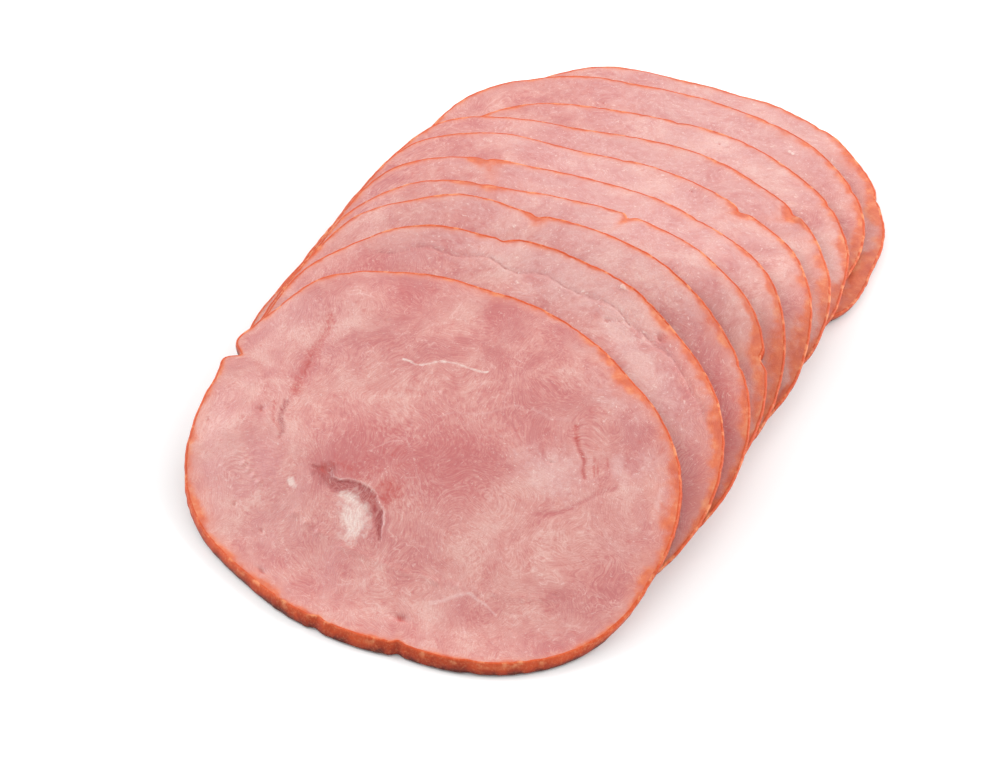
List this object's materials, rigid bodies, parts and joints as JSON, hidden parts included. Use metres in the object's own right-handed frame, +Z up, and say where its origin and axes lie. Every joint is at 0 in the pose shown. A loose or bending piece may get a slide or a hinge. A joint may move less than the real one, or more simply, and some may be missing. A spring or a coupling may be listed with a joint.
{
  "type": "row of sliced ham",
  "caption": "Fanned row of thin oval smoked ham slices, each a disc of pink meat with a narrow orange-brown rind, lying overlapped on a flat surface.",
  "frame": {"origin": "centre of the row's bounding box, on the plane that the slices lie on", "axes": "+Y along the row from the front slice, which lies on top, to the rear slice, which lies flat; +Z up; +X to the right seen from the front"},
  "size_m": [0.1368, 0.227, 0.0298],
  "materials": {
    "meat": "moist cut face of cured ham, pale pink with rose and cream patches, soft sheen",
    "rind": "thin smoked skin, orange-brown, slightly glossy"
  },
  "bodies": {
    "slice_01": {"slice_01_meat": "meat", "slice_01_rind": "rind"},
    "slice_02": {"slice_02_meat": "meat", "slice_02_rind": "rind"},
    "slice_03": {"slice_03_meat": "meat", "slice_03_rind": "rind"},
    "slice_04": {"slice_04_meat": "meat", "slice_04_rind": "rind"},
    "slice_05": {"slice_05_meat": "meat", "slice_05_rind": "rind"},
    "slice_06": {"slice_06_meat": "meat", "slice_06_rind": "rind"},
    "slice_07": {"slice_07_meat": "meat", "slice_07_rind": "rind"},
    "slice_08": {"slice_08_meat": "meat", "slice_08_rind": "rind"},
    "slice_09": {"slice_09_meat": "meat", "slice_09_rind": "rind"},
    "slice_10": {"slice_10_meat": "meat", "slice_10_rind": "rind"}
  },
  "joints": [
    {"name": "slice_01_lift", "type": "slide", "parent": "slice_02", "child": "slice_01", "axis": [0, 0, 1], "range_m": [0, 0.025]},
    {"name": "slice_02_lift", "type": "slide", "parent": "slice_03", "child": "slice_02", "axis": [0, 0, 1], "range_m": [0, 0.025]},
    {"name": "slice_03_lift", "type": "slide", "parent": "slice_04", "child": "slice_03", "axis": [0, 0, 1], "range_m": [0, 0.025]},
    {"name": "slice_04_lift", "type": "slide", "parent": "slice_05", "child": "slice_04", "axis": [0, 0, 1], "range_m": [0, 0.025]},
    {"name": "slice_05_lift", "type": "slide", "parent": "slice_06", "child": "slice_05", "axis": [0, 0, 1], "range_m": [0, 0.025]},
    {"name": "slice_06_lift", "type": "slide", "parent": "slice_07", "child": "slice_06", "axis": [0, 0, 1], "range_m": [0, 0.025]},
    {"name": "slice_07_lift", "type": "slide", "parent": "slice_08", "child": "slice_07", "axis": [0, 0, 1], "range_m": [0, 0.025]},
    {"name": "slice_08_lift", "type": "slide", "parent": "slice_09", "child": "slice_08", "axis": [0, 0, 1], "range_m": [0, 0.025]},
    {"name": "slice_09_lift", "type": "slide", "parent": "slice_10", "child": "slice_09", "axis": [0, 0, 1], "range_m": [0, 0.025]}
  ]
}
